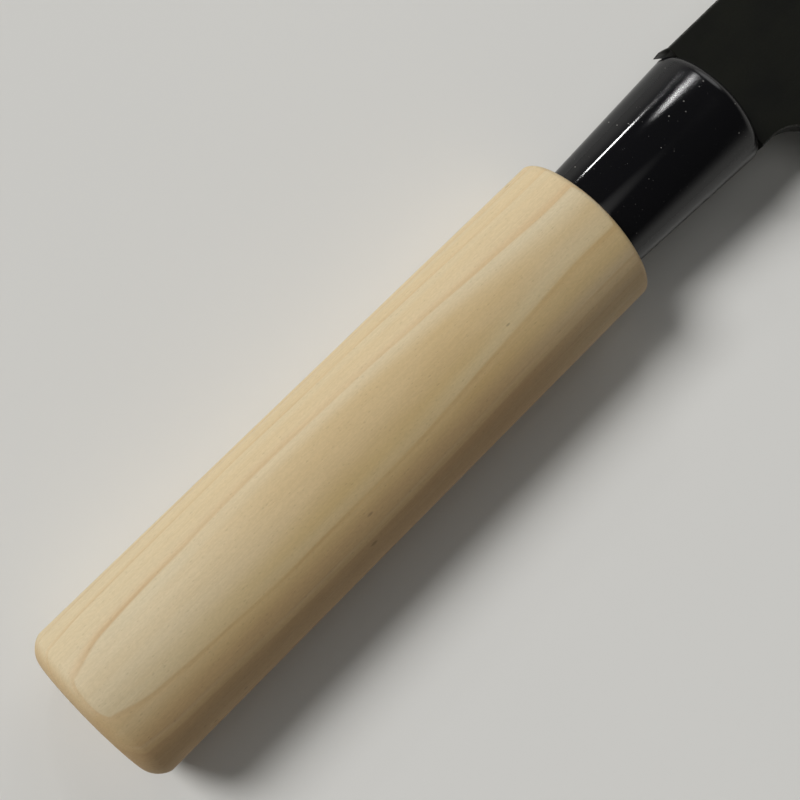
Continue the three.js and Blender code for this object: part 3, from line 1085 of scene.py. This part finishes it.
def blade_piece(name, layer, side, material):
    """Turns a layer into a closed piece with crisp grind and edge lines."""
    mesh = layer.mesh(name, side)
    shape = bmesh.new()
    shape.from_mesh(mesh)
    bmesh.ops.remove_doubles(shape, verts=shape.verts, dist=WELD_DISTANCE / 10)
    marks = shape.verts.layers.float["crease"]
    for face in shape.faces:
        face.smooth = True
    for line in shape.edges:
        first, second = (vertex[marks] for vertex in line.verts)
        bent = len(line.link_faces) == 2 and line.calc_face_angle(0.0) > SHARP_ANGLE
        line.smooth = not bent and not (first == second and first > 0)
    shape.verts.layers.float.remove(marks)
    shape.to_mesh(mesh)
    shape.free()
    mesh.materials.append(material)
    piece = bpy.data.objects.new(name, mesh)
    bpy.context.scene.collection.objects.link(piece)
    return piece


# Stage

# Height of a direction in the surroundings, 0 level and 1 straight up, where one tone gives way to the next
CEILING_FADE = (0.2, 0.55)
PANEL_EDGE = (0.93, 0.96)

FLOOR_DRIFT = 0.985
SENSOR_WIDTH = 36.0
CLIP_START = 5.0 * MM
LAMP_TARGET = Vector((0.11, 0.004, 0.004))
LAMP_DISTANCE = 1.1
KEY_FROM = (-0.28, 0.68, 0.68)
SIDE_FROM = (0.78, 0.35, 0.52)
LAMPS = (
    ("broad_lamp", (0.42, 0.63, 0.655), (0.05, 0.09), 0.6),
    ("strip_lamp", (0.345, 0.807, 0.48), (0.06, 0.03), 0.35),
)


def lamp_holder(name, lamp, direction):
    """Sets a lamp out from the ferrule, with its width along the knife."""
    holder = bpy.data.objects.new(name, lamp)
    back = Vector(direction).normalized()
    side = (Vector((1.0, 0.0, 0.0)) - back * back.x).normalized()
    turned = Matrix((side, back.cross(side), back)).transposed().to_4x4()
    holder.matrix_world = Matrix.Translation(LAMP_TARGET + back * LAMP_DISTANCE) @ turned
    bpy.context.scene.collection.objects.link(holder)
    return holder


def add_far_lamp(name, direction, strength, width):
    """A lamp far away, so that it lights the whole floor evenly."""
    lamp = bpy.data.lights.new(name, "SUN")
    lamp.energy = strength
    lamp.angle = width
    lamp_holder(name, lamp, direction)


def add_lamp(name, direction, size, power):
    lamp = bpy.data.lights.new(name, "AREA")
    lamp.shape = "RECTANGLE"
    lamp.size, lamp.size_y = size
    lamp.energy = power
    lamp_holder(name, lamp, direction).visible_camera = False


def add_surroundings(settings):
    """A pale horizon that fades to a dimmer ceiling, and that lights the knife less than it shows."""
    world = bpy.data.worlds.new("studio")
    world.use_nodes = True
    tree = world.node_tree
    rise = result(tree, "ShaderNodeTexCoord", output="Generated").split()[2]
    ray = node(tree, "ShaderNodeLightPath").outputs
    seen = Value(ray["Is Camera Ray"]).at_least(Value(ray["Is Glossy Ray"]))
    seen = seen.at_least(Value(ray["Is Transmission Ray"]))
    tone = mix_colours(seen, settings.fill, settings.horizon)
    tone = mix_colours(rise.between(*CEILING_FADE), tone, settings.overhead)
    tone = mix_colours(rise.between(*PANEL_EDGE), tone, settings.panel)
    background = next(n for n in tree.nodes if n.type == "BACKGROUND")
    tree.links.new(tone.socket, background.inputs["Color"])
    bpy.context.scene.world = world


def add_floor(settings):
    reach = settings.floor_reach
    height = CAD_BOX[0].z
    mesh = bpy.data.meshes.new("floor")
    corners = ((-reach, -reach), (reach, -reach), (reach, reach), (-reach, reach))
    mesh.from_pydata([(x, y, height) for x, y in corners], [], [(0, 1, 2, 3)])
    material, place = new_material("pale_floor", Specular_IOR_Level=0.0)
    dimmer = [FLOOR_DRIFT * channel for channel in settings.floor_colour]
    tone = mix_colours(mottle(place, (0.01, 0.01, 0.01), 2.0), dimmer, settings.floor_colour)
    mesh.materials.append(feed(material, Base_Color=tone))
    floor = bpy.data.objects.new("floor", mesh)
    bpy.context.scene.collection.objects.link(floor)


def add_camera(settings):
    camera = bpy.data.cameras.new("camera")
    camera.lens = settings.lens
    camera.sensor_width = SENSOR_WIDTH
    camera.clip_start = CLIP_START
    holder = bpy.data.objects.new("camera", camera)
    lean = Matrix.Rotation(-settings.camera_tilt, 4, "Y") @ Matrix.Rotation(settings.camera_roll, 4, "Z")
    holder.matrix_world = Matrix.Translation(settings.camera_place) @ lean
    bpy.context.scene.collection.objects.link(holder)
    bpy.context.scene.camera = holder


# Operators

class KNIFE_OT_handle(bpy.types.Operator):
    """Loft the wooden handle with its tenon and mortise"""
    bl_idname = "knife.handle"
    bl_label = "Handle"

    def execute(self, context):
        handle = context.scene.knife_handle
        stations = handle_stations(handle, context.scene.knife_ferrule)
        piece = loft_oval("handle_wood", stations, magnolia_wood(handle))
        finish_piece(piece, "handle_body")
        return {"FINISHED"}


class KNIFE_OT_ferrule(bpy.types.Operator):
    """Loft the moulded ferrule with its bore and tang slot"""
    bl_idname = "knife.ferrule"
    bl_label = "Ferrule"

    def execute(self, context):
        ferrule = context.scene.knife_ferrule
        stations = ferrule_stations(context.scene.knife_handle, ferrule, context.scene.knife_blade.shoulder)
        piece = loft_oval("ferrule_shell", stations, black_plastic(ferrule))
        finish_piece(piece, "ferrule")
        return {"FINISHED"}


class KNIFE_OT_core(bpy.types.Operator):
    """Build the hard core of the blade, from the edge to the end of the tang"""
    bl_idname = "knife.core"
    bl_label = "Core steel"

    def execute(self, context):
        layer = blade_layer(BladePlan(context.scene.knife_blade), whole=True)
        piece = blade_piece("blade_core", layer, 1, hard_steel(context.scene.knife_blade))
        finish_piece(piece, "core_steel")
        return {"FINISHED"}


class KNIFE_OT_cladding(bpy.types.Operator):
    """Build the soft iron on both sides of the core"""
    bl_idname = "knife.cladding"
    bl_label = "Cladding"

    def execute(self, context):
        layer = blade_layer(BladePlan(context.scene.knife_blade), whole=False)
        material = forged_iron(context.scene.knife_blade)
        for name, side in (("right", 1), ("left", -1)):
            piece = blade_piece(name + "_cheek", layer, side, material)
            finish_piece(piece, name + "_cladding")
        return {"FINISHED"}


class KNIFE_OT_bedding(bpy.types.Operator):
    """Finish the resin that is sealed round the tang"""
    bl_idname = "knife.bedding"
    bl_label = "Tang bedding"

    def execute(self, context):
        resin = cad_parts["tang_bedding"]
        resin.data.materials.clear()
        resin.data.materials.append(cured_resin(context.scene.knife_handle))
        return {"FINISHED"}


class KNIFE_OT_stage(bpy.types.Operator):
    """Set the floor, the surroundings, the lamps and the camera"""
    bl_idname = "knife.stage"
    bl_label = "Stage"

    def execute(self, context):
        settings = context.scene.knife_stage
        add_camera(settings)
        add_floor(settings)
        add_surroundings(settings)
        add_far_lamp("key_lamp", KEY_FROM, settings.key_strength, settings.key_width)
        add_far_lamp("side_lamp", SIDE_FROM, settings.side_strength, settings.side_width)
        for lamp in LAMPS:
            add_lamp(*lamp)
        context.scene.view_settings.view_transform = "Standard"
        return {"FINISHED"}


OPERATORS = (
    KNIFE_OT_stage,
    KNIFE_OT_core,
    KNIFE_OT_cladding,
    KNIFE_OT_ferrule,
    KNIFE_OT_handle,
    KNIFE_OT_bedding,
)


class VIEW3D_PT_knife(bpy.types.Panel):
    """The pieces of the knife and the sizes they are made from"""
    bl_label = "Knife"
    bl_space_type = "VIEW_3D"
    bl_region_type = "UI"
    bl_category = "Knife"

    def draw(self, context):
        for operator in OPERATORS:
            self.layout.operator(operator.bl_idname)
        for name, group in SETTINGS.items():
            box = self.layout.box()
            box.label(text=name)
            for field in group.__annotations__:
                box.prop(getattr(context.scene, name), field)


CLASSES = (*SETTINGS.values(), *OPERATORS, VIEW3D_PT_knife)


def register():
    for made in CLASSES:
        bpy.utils.register_class(made)
    for name, group in SETTINGS.items():
        setattr(bpy.types.Scene, name, PointerProperty(type=group))


def unregister():
    for name in SETTINGS:
        delattr(bpy.types.Scene, name)
    for made in reversed(CLASSES):
        bpy.utils.unregister_class(made)


def main():
    register()
    bpy.ops.knife.stage()
    bpy.ops.knife.core()
    bpy.ops.knife.cladding()
    bpy.ops.knife.ferrule()
    bpy.ops.knife.handle()
    bpy.ops.knife.bedding()


if __name__ == "__main__":
    main()
